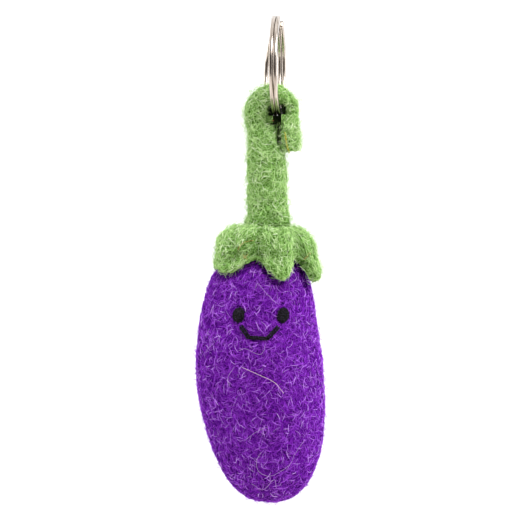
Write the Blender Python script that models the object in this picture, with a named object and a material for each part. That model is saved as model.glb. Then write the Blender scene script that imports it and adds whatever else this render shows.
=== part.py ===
"""A small eggplant of felted wool with a stitched face, hanging from a split key ring.

The origin is the top of the key ring's opening, where a hook or a finger carries it.
+X is to the right of the face, the face looks along -Y and +Z is up. Lengths are in metres.
"""

import math

import bmesh
import bpy
import numpy as np

MM = 0.001

# Space left between pieces that lie against each other
GAP = 0.3 * MM

# Split key ring: a flat steel wire wound round a 21 mm opening
RING_OPENING = 21.0 * MM
WIRE_HEIGHT = 2.0 * MM
WIRE_WIDTH = 0.95 * MM
WIRE_PITCH = 1.03 * MM
WIRE_CHAMFER = 0.2 * MM
RING_TURN = math.radians(5.8)
WIRE_START = math.radians(23.0)
WIRE_END = math.radians(838.0)
STEP_OVER_START = math.radians(345.0)
STEP_OVER_LENGTH = math.radians(36.0)
SPLAY_START = math.radians(735.0)
SPLAY_LENGTH = math.radians(85.0)
SPLAY = 2.4 * MM
WIRE_STATIONS = 112

# Eggplant body: an egg of revolution, a little flatter from front to back and bowed to the left
BODY_TOP = -52.2 * MM
BODY_BOTTOM = -119.7 * MM
BODY_RADIUS = 16.0 * MM
BODY_FLATNESS = 0.92
BODY_FULLNESS = 0.8
BODY_TAPER = 0.033
WAIST_DEPTH = 0.027
WAIST_PLACE = 0.35
WAIST_WIDTH = 0.25
TUCK_DEPTH = 0.13
TUCK_START = 0.66
TUCK_LENGTH = 0.15
BOW_MIDDLE = -3.4 * MM
BOW_REACH = 1.45 * MM
BOW_HEIGHT = -76.0 * MM
BOW_WAVELENGTH = 92.0 * MM
BODY_SIDES = 42
BODY_ROWS = 27

# Calyx: a puffy cap whose lower edge runs through these notches and lobe tips, all the way round.
# Each is an angle in degrees from the front towards +X, then height and thickness in millimetres.
CALYX_EDGE = (
    (-92.0, -60.6, 2.4),
    (-38.0, -62.9, 2.6),
    (-7.0, -60.0, 1.8),
    (24.0, -64.4, 2.4),
    (46.0, -60.2, 1.9),
    (61.0, -65.0, 3.0),
    (88.0, -61.4, 2.3),
    (109.0, -64.4, 2.7),
    (131.0, -60.2, 1.8),
    (152.0, -64.8, 2.5),
    (173.0, -60.0, 1.8),
    (194.0, -64.6, 2.4),
    (213.0, -60.2, 1.7),
    (233.0, -63.2, 1.9),
)
CALYX_THICKNESS = 1.6 * MM
CALYX_CROWN = 3.2 * MM
CALYX_CROWN_PLACE = 1.5
CALYX_CROWN_ROUND = 1.6
CROWN_MIDDLE = -3.3 * MM
CROWN_TOP = -50.4 * MM
CROWN_FLAT = 6.4 * MM
CROWN_REACH = 6.9 * MM
CROWN_DROP = 7.6 * MM
CALYX_CURL = 1.4 * MM
CALYX_CURL_SIDE = math.radians(75.0)
FOLD_DEPTH = 0.3
FOLD_WIDTH = math.radians(9.0)
CALYX_SIDES = 76
CALYX_ROWS = 8
RIM_ROWS = 5

# Stem and loop, as stations down a cord that lies in the XZ plane: x, z, half width, half depth.
# The first runs from the foot up the stem and over the key ring, and the second is the cord's cut
# end. The third is the thinner felt that joins these two under the key ring.
STEM_STATIONS = (
    (-2.55, -50.75, 5.30, 5.00),
    (-2.55, -50.20, 5.80, 5.50),
    (-2.55, -47.20, 5.10, 4.95),
    (-2.65, -43.00, 4.95, 4.80),
    (-2.60, -38.50, 4.90, 4.70),
    (-2.75, -34.00, 4.80, 4.60),
    (-3.00, -31.00, 4.60, 4.40),
    (-3.75, -28.00, 4.05, 4.00),
    (-4.60, -25.20, 3.30, 3.50),
    (-5.10, -22.50, 2.95, 3.15),
    (-4.55, -19.90, 2.90, 2.95),
    (-2.95, -18.30, 2.80, 2.85),
    (-0.90, -17.88, 2.75, 2.80),
    (1.15, -18.38, 2.43, 2.75),
    (3.15, -19.80, 1.85, 2.65),
    (3.45, -22.20, 1.95, 2.70),
    (3.40, -24.50, 2.00, 2.60),
    (3.20, -25.50, 1.60, 2.10),
)
TAIL_STATIONS = (
    (3.45, -21.60, 1.30, 1.50),
    (3.40, -22.80, 1.80, 2.00),
    (3.35, -24.20, 2.10, 2.50),
    (3.05, -25.80, 2.45, 2.85),
    (2.85, -27.40, 2.70, 3.00),
    (3.00, -29.40, 2.75, 3.00),
    (3.20, -31.20, 2.65, 2.90),
    (3.30, -32.15, 2.10, 2.40),
)
TAIL_FORWARD = -0.9 * MM
WEB_STATIONS = (
    (-0.40, -24.70, 1.60, 0.90),
    (-0.30, -25.10, 2.10, 1.60),
    (0.10, -26.60, 1.90, 2.10),
    (0.60, -28.60, 1.30, 2.40),
    (0.80, -29.80, 0.90, 2.20),
)
CORD_SIDES = 24
CORD_STEPS = 3
FELTING_GRID = 0.55 * MM
FELTING_KEEP = 0.34

# Stitched face: the eyes are low ovals, the mouth one thread in three straight stitches
EYE_PLACES = {"eye_left": (-9.65, -72.75), "eye_right": (1.32, -72.8)}
EYE_HALF_WIDTH = 1.45 * MM
EYE_HALF_HEIGHT = 1.85 * MM
EYE_HALF_DEPTH = 0.8 * MM
SMILE_CORNERS = ((-9.1, -75.75), (-7.15, -78.6), (-2.6, -78.95), (0.15, -75.9))
SMILE_RADIUS = 0.6 * MM
SMILE_STEPS = 4
FACE_SINK = 0.1 * MM

# Sewing thread that fastens the cord's cut end to the stem: x, y, z in millimetres
STITCH_POINTS = (
    (1.85, -3.45, -27.3),
    (1.95, -3.75, -28.0),
    (2.10, -3.80, -29.2),
    (2.30, -3.75, -30.4),
    (2.65, -3.35, -31.5),
    (2.95, -2.75, -32.4),
)
STITCH_RADIUS = 0.25 * MM
THREAD_SIDES = 8

# Colours as red, green, blue, then roughness and metallic value
FINISHES = {
    "purple_felt": ((0.20, 0.030, 0.42), 0.95, 0.0),
    "green_felt": ((0.23, 0.40, 0.11), 0.95, 0.0),
    "black_thread": ((0.012, 0.011, 0.014), 0.75, 0.0),
    "olive_thread": ((0.36, 0.33, 0.04), 0.8, 0.0),
    "steel": ((0.56, 0.52, 0.47), 0.28, 1.0),
}


def clear_scene():
    """Remove whatever the scene holds."""
    for thing in list(bpy.data.objects):
        bpy.data.objects.remove(thing, do_unlink=True)


def finish(name):
    """The named finish as a material, made the first time that it is asked for."""
    found = bpy.data.materials.get(name)
    if found:
        return found
    colour, roughness, metallic = FINISHES[name]
    made = bpy.data.materials.new(name)
    made.use_nodes = True
    shader = made.node_tree.nodes["Principled BSDF"]
    shader.inputs["Base Color"].default_value = (*colour, 1.0)
    shader.inputs["Roughness"].default_value = roughness
    shader.inputs["Metallic"].default_value = metallic
    made.diffuse_color = (*colour, 1.0)
    return made


def solid(name, shells, finish_name, crease=math.radians(60.0)):
    """One object from closed shells of points and faces, with its faces turned outwards."""
    mesh = bpy.data.meshes.new(name)
    points = []
    faces = []
    for shell_points, shell_faces in shells:
        start = len(points)
        points.extend(shell_points.tolist())
        faces.extend([[start + corner for corner in face] for face in shell_faces])
    mesh.from_pydata(points, [], faces)
    shape = bmesh.new()
    shape.from_mesh(mesh)
    bmesh.ops.recalc_face_normals(shape, faces=shape.faces)
    shape.to_mesh(mesh)
    shape.free()
    mesh.shade_smooth()
    mesh.set_sharp_from_angle(angle=crease)
    mesh.materials.append(finish(finish_name))
    thing = bpy.data.objects.new(name, mesh)
    bpy.context.collection.objects.link(thing)
    return thing


def bands(row_count, sides, first=0):
    """Quads between rings of points that follow each other, as indices."""
    faces = []
    for row in range(row_count - 1):
        for side in range(sides):
            here = first + row * sides
            turn = (side + 1) % sides
            faces.append((here + side, here + turn, here + sides + turn, here + sides + side))
    return faces


def capped_by_points(rows, first_pole, last_pole):
    """A closed shell from rings of points, with one point at each pole."""
    row_count, sides, _ = rows.shape
    points = np.vstack([[first_pole], rows.reshape(-1, 3), [last_pole]])
    last = len(points) - 1
    last_ring = last - sides
    faces = bands(row_count, sides, first=1)
    for side in range(sides):
        turn = (side + 1) % sides
        faces.append((0, 1 + turn, 1 + side))
        faces.append((last, last_ring + side, last_ring + turn))
    return points, faces


def capped_by_faces(rows):
    """A closed shell from rings of points, with one flat face over each end."""
    row_count, sides, _ = rows.shape
    faces = bands(row_count, sides)
    faces.append(tuple(reversed(range(sides))))
    last_ring = (row_count - 1) * sides
    faces.append(tuple(last_ring + side for side in range(sides)))
    return rows.reshape(-1, 3), faces


def eased(value):
    """Zero below 0, one above 1, and a smooth rise between them."""
    held = np.clip(value, 0.0, 1.0)
    return held * held * (3.0 - 2.0 * held)


def through(points, steps):
    """A smooth Catmull-Rom curve through every given point, with this many steps for each span."""
    points = np.asarray(points, dtype=float)
    before = 2.0 * points[0] - points[1]
    after = 2.0 * points[-1] - points[-2]
    held = np.vstack([before, points, after])
    share = np.linspace(0.0, 1.0, steps, endpoint=False)[:, None]
    spans = []
    for start in range(len(points) - 1):
        a, b, c, d = held[start:start + 4]
        straight = b + 0.5 * share * (c - a)
        bend = 0.5 * share**2 * (2.0 * a - 5.0 * b + 4.0 * c - d)
        twist = 0.5 * share**3 * (3.0 * b - a - 3.0 * c + d)
        spans.append(straight + bend + twist)
    return np.vstack([*spans, points[-1:]])


def cutter_for(target, cutter):
    """Sink the cutter's shape into the target by a Boolean difference."""
    cutter.hide_render = True
    cutter.display_type = "WIRE"
    cut = target.modifiers.new(cutter.name, "BOOLEAN")
    cut.operation = "DIFFERENCE"
    cut.solver = "EXACT"
    cut.object = cutter


def split_ring():
    """The key ring: one flat wire that steps sideways once a turn and splays at its last end."""
    turn = np.linspace(WIRE_START, WIRE_END, WIRE_STATIONS)
    middle_radius = 0.5 * (RING_OPENING + WIRE_HEIGHT)
    one_turn = 2.0 * math.pi
    sideways = np.full_like(turn, 0.5 * WIRE_PITCH)
    for step in range(2):
        sideways -= WIRE_PITCH * eased((turn - STEP_OVER_START - step * one_turn) / STEP_OVER_LENGTH)
    sideways -= SPLAY * eased((turn - SPLAY_START) / SPLAY_LENGTH)

    across = np.array([math.cos(RING_TURN), -math.sin(RING_TURN), 0.0])
    away = np.array([math.sin(RING_TURN), math.cos(RING_TURN), 0.0])
    up = np.array([0.0, 0.0, 1.0])
    centre = np.array([0.0, 0.0, -0.5 * RING_OPENING])
    outward = np.sin(turn)[:, None] * away + np.cos(turn)[:, None] * up
    path = centre + middle_radius * outward + sideways[:, None] * across

    half_height = 0.5 * WIRE_HEIGHT
    half_width = 0.5 * WIRE_WIDTH
    low_height = half_height - WIRE_CHAMFER
    low_width = half_width - WIRE_CHAMFER
    corners = np.array([
        (half_height, -low_width), (half_height, low_width),
        (low_height, half_width), (-low_height, half_width),
        (-half_height, low_width), (-half_height, -low_width),
        (-low_height, -half_width), (low_height, -half_width),
    ])
    rows = (
        path[:, None]
        + corners[None, :, :1] * outward[:, None]
        + corners[None, :, 1:] * across
    )
    return solid("split_ring", [capped_by_faces(rows)], "steel", crease=math.radians(35.0))


def body_radius(height):
    """The body's half width at a height: a sine dome, taper towards the top, a slight waist and a
    shoulder that is tucked in under the cap.
    """
    half_length = 0.5 * (BODY_TOP - BODY_BOTTOM)
    level = np.clip((height - 0.5 * (BODY_TOP + BODY_BOTTOM)) / half_length, -1.0, 1.0)
    dome = np.sqrt(1.0 - level**2)
    waist = WAIST_DEPTH * dome * np.exp(-((level - WAIST_PLACE) / WAIST_WIDTH) ** 2)
    tuck = 1.0 - TUCK_DEPTH * eased((level - TUCK_START) / TUCK_LENGTH)
    return BODY_RADIUS * tuck * (dome**BODY_FULLNESS * (1.0 - BODY_TAPER * level) - waist)


def body_axis(height):
    """The x of the body's middle line at a height, one slow wave."""
    return BOW_MIDDLE - BOW_REACH * np.cos(2.0 * math.pi * (height - BOW_HEIGHT) / BOW_WAVELENGTH)


def body_point(latitude, angle):
    """A point of the body's surface: latitude 0 is the top and pi the bottom, angle 0 the front."""
    half_length = 0.5 * (BODY_TOP - BODY_BOTTOM)
    height = 0.5 * (BODY_TOP + BODY_BOTTOM) + half_length * np.cos(latitude)
    radius = body_radius(height)
    x = body_axis(height) + radius * np.sin(angle)
    y = -BODY_FLATNESS * radius * np.cos(angle)
    return np.stack([x, y, height + 0.0 * angle], axis=-1)


def latitude_of(height):
    """The latitude at which the body's surface has this height."""
    half_length = 0.5 * (BODY_TOP - BODY_BOTTOM)
    return np.arccos(np.clip((height - 0.5 * (BODY_TOP + BODY_BOTTOM)) / half_length, -1.0, 1.0))


def body_frame(latitude, angle):
    """A surface point with its outward normal and the direction that runs down the surface."""
    nudge = 1.0e-4
    point = body_point(latitude, angle)
    downward = body_point(latitude + nudge, angle) - point
    sideways = body_point(latitude, angle + nudge) - point
    downward /= np.linalg.norm(downward, axis=-1, keepdims=True)
    sideways /= np.linalg.norm(sideways, axis=-1, keepdims=True)
    normal = np.cross(downward, sideways)
    normal /= np.linalg.norm(normal, axis=-1, keepdims=True)
    return point, normal, downward


def front_frame(x, height):
    """The surface point and normal of the body's front at this x and height."""
    share = (x - body_axis(height)) / body_radius(height)
    angle = np.arcsin(np.clip(share, -1.0, 1.0))
    point, normal, _ = body_frame(latitude_of(height), angle)
    return point, normal


def eggplant_body():
    """The purple body as rings of points from its top to its bottom."""
    latitude = np.linspace(0.0, math.pi, BODY_ROWS + 1)[1:-1, None]
    angle = np.linspace(0.0, 2.0 * math.pi, BODY_SIDES, endpoint=False)[None, :]
    rows = body_point(latitude, angle)
    top = (float(body_axis(BODY_TOP)), 0.0, BODY_TOP)
    bottom = (float(body_axis(BODY_BOTTOM)), 0.0, BODY_BOTTOM)
    return solid("eggplant_body", [capped_by_points(rows, top, bottom)], "purple_felt")


def calyx_edge(angle):
    """Height and thickness of the cap's lower edge, eased between its notches and lobe tips."""
    stops = np.radians([stop for stop, _, _ in CALYX_EDGE])
    stops = np.append(stops, stops[0] + 2.0 * math.pi)
    wrapped = stops[0] + np.mod(angle - stops[0], 2.0 * math.pi)
    span = np.clip(np.searchsorted(stops, wrapped, side="right") - 1, 0, len(stops) - 2)
    share = eased((wrapped - stops[span]) / (stops[span + 1] - stops[span]))
    values = MM * np.array([stop[1:] for stop in (*CALYX_EDGE, CALYX_EDGE[0])])
    edge = values[span] + share[:, None] * (values[span + 1] - values[span])
    return edge[:, 0], edge[:, 1]


def calyx_folds(angle):
    """How deep the nearest fold is: one above each notch between two lobes, zero on the lobes."""
    depth = np.zeros_like(angle)
    for stop, _, _ in CALYX_EDGE[::2]:
        away = np.angle(np.exp(1j * (angle - math.radians(stop))))
        depth = np.maximum(depth, np.exp(-((away / FOLD_WIDTH) ** 2)))
    return depth


def under_crown(points):
    """The same points, none of them above the crown: flat in the middle, a quarter ellipse round it."""
    from_middle = np.hypot(points[..., 0] - CROWN_MIDDLE, 1.05 * points[..., 1])
    share = np.clip((from_middle - CROWN_FLAT) / CROWN_REACH, 0.0, 1.0)
    highest = CROWN_TOP - CROWN_DROP * (1.0 - np.sqrt(1.0 - share**2))
    held = points.copy()
    held[..., 2] = np.minimum(points[..., 2], highest)
    return held


def calyx():
    """The green cap: an outer skin over the body's dome, a round rim, and an inner skin."""
    angle = np.linspace(0.0, 2.0 * math.pi, CALYX_SIDES, endpoint=False)
    edge_height, rim_thickness = calyx_edge(angle)
    curl = CALYX_CURL * eased(np.cos(angle - CALYX_CURL_SIDE))
    last_latitude = latitude_of(edge_height + 0.5 * rim_thickness)

    reach = np.linspace(0.0, 1.0, CALYX_ROWS + 1)[1:, None]
    thickness = CALYX_THICKNESS + (rim_thickness - CALYX_THICKNESS) * reach
    thickness += CALYX_CROWN * np.sin(math.pi * reach**CALYX_CROWN_PLACE) ** CALYX_CROWN_ROUND
    thickness *= 1.0 - FOLD_DEPTH * calyx_folds(angle) * np.sin(math.pi * reach**2)
    lift = GAP + curl * reach**3
    point, normal, downward = body_frame(last_latitude * reach, angle[None, :] + 0.0 * reach)
    outer = under_crown(point + normal * (lift + thickness)[..., None])
    inner = point + normal * lift[..., None]

    middle = 0.5 * (outer[-1] + inner[-1])
    sweep = np.linspace(0.5 * math.pi, -0.5 * math.pi, RIM_ROWS + 2)[1:-1, None, None]
    half = 0.5 * rim_thickness[:, None]
    rim = middle + half * (np.sin(sweep) * normal[-1] + np.cos(sweep) * downward[-1])

    rows = np.concatenate([outer, rim, inner[::-1]])
    top_x = float(body_axis(BODY_TOP))
    outer_pole = (top_x, 0.0, BODY_TOP + GAP + CALYX_THICKNESS)
    inner_pole = (top_x, 0.0, BODY_TOP + GAP)
    return solid("calyx", [capped_by_points(rows, outer_pole, inner_pole)], "green_felt")


def cord_shell(stations, forward, grown=0.0):
    """A felt cord of oval section along stations in the XZ plane, closed at both ends."""
    path = MM * through(stations, CORD_STEPS)
    path[:, 2:] += grown
    centre = np.column_stack([path[:, 0], np.full(len(path), forward), path[:, 1]])
    ahead = np.gradient(centre, axis=0)
    ahead /= np.linalg.norm(ahead, axis=1, keepdims=True)
    centre[0] -= grown * ahead[0]
    centre[-1] += grown * ahead[-1]
    sideways = np.column_stack([ahead[:, 2], np.zeros(len(path)), -ahead[:, 0]])
    front = np.array([0.0, -1.0, 0.0])
    angle = np.linspace(0.0, 2.0 * math.pi, CORD_SIDES, endpoint=False)[None, :, None]
    rows = (
        centre[:, None]
        + path[:, 2, None, None] * np.cos(angle) * sideways[:, None]
        + path[:, 3, None, None] * np.sin(angle) * front
    )
    return capped_by_faces(rows)


def stem_seat():
    """The hollow in the cap's crown that the foot of the stem is felted into."""
    return solid("stem_seat", [cord_shell(STEM_STATIONS[:3], 0.0, grown=GAP)], "green_felt")


def stem_loop():
    """Stem, loop, cut end and the web between them, felted into one mass."""
    shells = [
        cord_shell(STEM_STATIONS, 0.0),
        cord_shell(TAIL_STATIONS, TAIL_FORWARD),
        cord_shell(WEB_STATIONS, 0.0),
    ]
    cord = solid("stem_loop", shells, "green_felt")
    felting = cord.modifiers.new("felting", "REMESH")
    felting.mode = "VOXEL"
    felting.voxel_size = FELTING_GRID
    felting.use_smooth_shade = True
    fewer = cord.modifiers.new("fewer_faces", "DECIMATE")
    fewer.ratio = FELTING_KEEP
    return cord


def eye(name, x, height, finish_name, grown=0.0):
    """A low oval that lies on the body's front, half sunk into the felt."""
    point, normal = front_frame(x, height)
    side = np.cross([0.0, 0.0, 1.0], normal)
    side /= np.linalg.norm(side)
    upward = np.cross(normal, side)
    latitude = np.linspace(0.0, math.pi, 11)[1:-1, None, None]
    angle = np.linspace(0.0, 2.0 * math.pi, 20, endpoint=False)[None, :, None]
    centre = point - FACE_SINK * normal
    thick = EYE_HALF_DEPTH + grown
    rows = (
        centre
        + thick * np.cos(latitude) * normal
        + (EYE_HALF_WIDTH + grown) * np.sin(latitude) * np.cos(angle) * side
        + (EYE_HALF_HEIGHT + grown) * np.sin(latitude) * np.sin(angle) * upward
    )
    shell = capped_by_points(rows, centre + thick * normal, centre - thick * normal)
    return solid(name, [shell], finish_name)


def thread_shell(path, normal, radius, overrun=0.0):
    """A round thread along points, with normals that say which way is off the felt."""
    ahead = np.gradient(path, axis=0)
    ahead /= np.linalg.norm(ahead, axis=1, keepdims=True)
    path = path.copy()
    path[0] -= overrun * ahead[0]
    path[-1] += overrun * ahead[-1]
    sideways = np.cross(ahead, normal)
    sideways /= np.linalg.norm(sideways, axis=1, keepdims=True)
    upward = np.cross(sideways, ahead)
    angle = np.linspace(0.0, 2.0 * math.pi, THREAD_SIDES, endpoint=False)[None, :, None]
    ring = np.cos(angle) * sideways[:, None] + np.sin(angle) * upward[:, None]
    return capped_by_faces(path[:, None] + radius * ring)


def smile_path():
    """Points and normals along the mouth's three stitches, on the body's front."""
    corners = MM * np.array(SMILE_CORNERS)
    stops = np.arange(len(corners))
    along = np.linspace(0.0, len(corners) - 1.0, SMILE_STEPS * (len(corners) - 1) + 1)
    x = np.interp(along, stops, corners[:, 0])
    height = np.interp(along, stops, corners[:, 1])
    point, normal = front_frame(x, height)
    return point - FACE_SINK * normal, normal


def smile(name, finish_name, grown=0.0):
    """The mouth's thread."""
    path, normal = smile_path()
    return solid(name, [thread_shell(path, normal, SMILE_RADIUS + grown, grown)], finish_name)


def loop_stitch(name, finish_name, grown=0.0):
    """The sewing thread over the cord's cut end."""
    path = MM * np.array(STITCH_POINTS)
    normal = np.tile([0.35, -1.0, 0.0], (len(path), 1))
    return solid(name, [thread_shell(path, normal, STITCH_RADIUS + grown, grown)], finish_name)


def build():
    """Make every piece, with hollows in the felt for what is stitched into it."""
    clear_scene()
    split_ring()

    body = eggplant_body()
    cutter_for(calyx(), stem_seat())
    for name, (x, height) in EYE_PLACES.items():
        eye(name, x * MM, height * MM, "black_thread")
        cutter_for(body, eye(name + "_hollow", x * MM, height * MM, "purple_felt", grown=GAP))
    smile("smile", "black_thread")
    cutter_for(body, smile("smile_hollow", "purple_felt", grown=GAP))

    cord = stem_loop()
    loop_stitch("loop_stitch", "olive_thread")
    cutter_for(cord, loop_stitch("loop_stitch_hollow", "green_felt", grown=GAP))


build()
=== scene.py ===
import math

import bpy
import numpy as np
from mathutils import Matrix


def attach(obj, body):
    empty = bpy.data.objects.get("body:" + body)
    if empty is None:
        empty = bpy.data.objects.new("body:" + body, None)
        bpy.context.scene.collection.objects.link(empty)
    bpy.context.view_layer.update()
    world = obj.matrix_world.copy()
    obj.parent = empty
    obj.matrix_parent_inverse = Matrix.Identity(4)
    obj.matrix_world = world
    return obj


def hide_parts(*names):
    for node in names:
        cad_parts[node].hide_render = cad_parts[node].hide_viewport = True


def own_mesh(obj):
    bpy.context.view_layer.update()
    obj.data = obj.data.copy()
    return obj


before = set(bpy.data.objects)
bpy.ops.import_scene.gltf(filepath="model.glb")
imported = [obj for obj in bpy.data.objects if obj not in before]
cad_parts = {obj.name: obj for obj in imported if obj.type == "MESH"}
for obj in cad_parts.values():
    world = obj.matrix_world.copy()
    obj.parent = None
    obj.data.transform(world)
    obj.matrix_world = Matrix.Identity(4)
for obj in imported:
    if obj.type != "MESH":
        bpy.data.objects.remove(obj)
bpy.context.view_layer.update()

MM = 0.001


# Split key ring: spring steel wire of flat section, polished and wound a little more than twice
# round. It steps sideways once a turn, and its last end is sprung open where keys go on.
RING_OPENING = 21.0 * MM
WIRE_HEIGHT = 2.0 * MM
WIRE_WIDTH = 0.95 * MM
WIRE_PITCH = 1.03 * MM
WIRE_ROUNDING = 0.28 * MM
RING_TURN = math.radians(5.8)
WIRE_START = math.radians(23.0)
WIRE_END = math.radians(838.0)
STEP_OVER_START = math.radians(345.0)
STEP_OVER_LENGTH = math.radians(36.0)
SPLAY_START = math.radians(735.0)
SPLAY_LENGTH = math.radians(85.0)
SPLAY = 2.4 * MM
WIRE_STATIONS = 640
WIRE_CORNER_STEPS = 5
WIRE_END_ROUNDING = 0.3 * MM
RING_ACROSS = np.array([math.cos(RING_TURN), -math.sin(RING_TURN), 0.0])
RING_AWAY = np.array([math.sin(RING_TURN), math.cos(RING_TURN), 0.0])
RING_MIDDLE = np.array([0.0, 0.0, -0.5 * RING_OPENING])


def eased(value):
    """Zero below 0, one above 1, and a smooth rise between them."""
    held = np.clip(value, 0.0, 1.0)
    return held * held * (3.0 - 2.0 * held)


def unit(vectors):
    """The same directions with length one."""
    length = np.linalg.norm(vectors, axis=-1, keepdims=True)
    return vectors / np.maximum(length, 1.0e-12)


def outward_faces(points, quads, triangles):
    """The faces, all turned over when the volume that they enclose comes out negative."""
    volume = 0.0
    for corners in (quads[:, [0, 1, 2]], quads[:, [0, 2, 3]], triangles):
        a, b, c = (points[corners[:, corner]] for corner in range(3))
        volume += np.sum(np.cross(a, b) * c)
    if volume < 0.0:
        return quads[:, ::-1], triangles[:, ::-1]
    return quads, triangles


def make_mesh(name, points, quads, triangles=()):
    """A smooth mesh, closed or open, from arrays of points and of the faces' corners."""
    quads = np.asarray(quads, dtype=np.int32).reshape(-1, 4)
    triangles = np.asarray(triangles, dtype=np.int32).reshape(-1, 3)
    if len(triangles):
        quads, triangles = outward_faces(points, quads, triangles)
    corners = np.concatenate([quads.ravel(), triangles.ravel()])
    quad_starts = 4 * np.arange(len(quads))
    triangle_starts = quads.size + 3 * np.arange(len(triangles))
    starts = np.concatenate([quad_starts, triangle_starts]).astype(np.int32)
    mesh = bpy.data.meshes.new(name)
    mesh.vertices.add(len(points))
    mesh.vertices.foreach_set("co", np.asarray(points, dtype=np.float32).ravel())
    mesh.loops.add(len(corners))
    mesh.loops.foreach_set("vertex_index", corners)
    mesh.polygons.add(len(starts))
    mesh.polygons.foreach_set("loop_start", starts)
    mesh.update(calc_edges=True)
    mesh.shade_smooth()
    return mesh


def make_piece(name, mesh, material, body):
    """An object that rides on a body, with its material."""
    mesh.materials.append(material)
    piece = bpy.data.objects.new(name, mesh)
    bpy.context.scene.collection.objects.link(piece)
    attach(piece, body)
    return piece


def ring_quads(rows, sides):
    """Quads between rings of points that follow each other, each ring closed on itself."""
    row = np.arange(rows - 1)[:, None] * sides
    side = np.arange(sides)[None, :]
    turn = (side + 1) % sides
    return np.stack([row + side, row + turn, row + sides + turn, row + sides + side], axis=-1)


def closed_tube(rows):
    """Points, quads and triangles of rings, closed at both ends by a point in the end ring's middle."""
    count, sides, _ = rows.shape
    points = np.vstack([rows.reshape(-1, 3), rows[0].mean(axis=0), rows[-1].mean(axis=0)])
    side = np.arange(sides)
    turn = (side + 1) % sides
    first = np.full(sides, count * sides)
    last_ring = (count - 1) * sides
    start_cap = np.stack([first, turn, side], axis=-1)
    end_cap = np.stack([first + 1, last_ring + side, last_ring + turn], axis=-1)
    return points, ring_quads(count, sides).reshape(-1, 4), np.concatenate([start_cap, end_cap])


def new_material(name):
    """A material with its node tree and its shader."""
    material = bpy.data.materials.new(name)
    material.use_nodes = True
    tree = material.node_tree
    return material, tree, tree.nodes["Principled BSDF"]


def add_node(tree, kind, **settings):
    """A node with its settings. A capital first letter names an input, with _ for each space."""
    node = tree.nodes.new(kind)
    for name, value in settings.items():
        if name[0].isupper():
            node.inputs[name.replace("_", " ")].default_value = value
        else:
            setattr(node, name, value)
    return node


def ramp(tree, stops, source):
    """A colour ramp through (place, colour) stops, driven by a socket."""
    node = tree.nodes.new("ShaderNodeValToRGB")
    elements = node.color_ramp.elements
    elements[0].position, elements[0].color = stops[0][0], (*stops[0][1], 1.0)
    elements[1].position, elements[1].color = stops[-1][0], (*stops[-1][1], 1.0)
    for place, colour in stops[1:-1]:
        element = elements.new(place)
        element.color = (*colour, 1.0)
    tree.links.new(source, node.inputs["Fac"])
    return node


def wire_section():
    """The wire's oblong section with four rounded corners, as (outward, sideways) offsets."""
    quarter = np.linspace(0.0, 0.5 * math.pi, WIRE_CORNER_STEPS)
    start = 0.5 * math.pi * np.arange(4)
    turn = (start[:, None] + quarter).ravel()
    diagonal = np.repeat(start + 0.25 * math.pi, WIRE_CORNER_STEPS)
    height = np.sign(np.cos(diagonal)) * (0.5 * WIRE_HEIGHT - WIRE_ROUNDING)
    width = np.sign(np.sin(diagonal)) * (0.5 * WIRE_WIDTH - WIRE_ROUNDING)
    return height + WIRE_ROUNDING * np.cos(turn), width + WIRE_ROUNDING * np.sin(turn)


def ring_rows():
    """Rings of points along the wire: a circle whose sideways place steps once a turn."""
    turn = np.linspace(WIRE_START, WIRE_END, WIRE_STATIONS)
    sideways = np.full_like(turn, 0.5 * WIRE_PITCH)
    for step in range(2):
        sideways -= WIRE_PITCH * eased((turn - STEP_OVER_START - step * 2.0 * math.pi) / STEP_OVER_LENGTH)
    sideways -= SPLAY * eased((turn - SPLAY_START) / SPLAY_LENGTH)
    up = np.array([0.0, 0.0, 1.0])
    outward = np.sin(turn)[:, None] * RING_AWAY + np.cos(turn)[:, None] * up
    middle_radius = 0.5 * (RING_OPENING + WIRE_HEIGHT)
    path = RING_MIDDLE + middle_radius * outward + sideways[:, None] * RING_ACROSS
    from_end = middle_radius * np.minimum(turn - WIRE_START, WIRE_END - turn)
    short = 1.0 - np.clip(from_end / WIRE_END_ROUNDING, 0.0, 1.0)
    scale = (0.5 + 0.5 * np.sqrt(1.0 - short**2))[:, None, None]
    height, width = wire_section()
    across = width[:, None] * RING_ACROSS
    return path[:, None] + scale * (height[:, None] * outward[:, None] + across)


def steel_material():
    """Polished steel: warm grey, with drawn lines along the wire and darker handling marks."""
    material, tree, shader = new_material("ring_steel")
    place = add_node(tree, "ShaderNodeTexCoord")
    stretch = add_node(tree, "ShaderNodeMapping")
    stretch.inputs["Scale"].default_value = (6.0, 0.25, 0.25)
    tree.links.new(place.outputs["Object"], stretch.inputs["Vector"])
    lines = add_node(tree, "ShaderNodeTexNoise", Scale=900.0, Detail=3.0, Roughness=0.6)
    tree.links.new(stretch.outputs["Vector"], lines.inputs["Vector"])
    tones = ((0.34, (0.13, 0.10, 0.07)), (0.47, (0.46, 0.40, 0.35)), (0.66, (0.63, 0.56, 0.505)))
    colour = ramp(tree, tones, lines.outputs["Fac"])
    tree.links.new(colour.outputs["Color"], shader.inputs["Base Color"])
    marks = add_node(tree, "ShaderNodeTexNoise", Scale=350.0, Detail=4.0)
    tree.links.new(place.outputs["Object"], marks.inputs["Vector"])
    rough = add_node(tree, "ShaderNodeMapRange", To_Min=0.12, To_Max=0.30)
    tree.links.new(marks.outputs["Fac"], rough.inputs["Value"])
    tree.links.new(rough.outputs["Result"], shader.inputs["Roughness"])
    bump = add_node(tree, "ShaderNodeBump", Strength=0.3, Distance=0.00004)
    tree.links.new(lines.outputs["Fac"], bump.inputs["Height"])
    tree.links.new(bump.outputs["Normal"], shader.inputs["Normal"])
    shader.inputs["Metallic"].default_value = 1.0
    return material


polished_ring = make_piece(
    "polished_ring", make_mesh("polished_ring", *closed_tube(ring_rows())), steel_material(), "ring",
)
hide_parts("split_ring")


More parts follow.
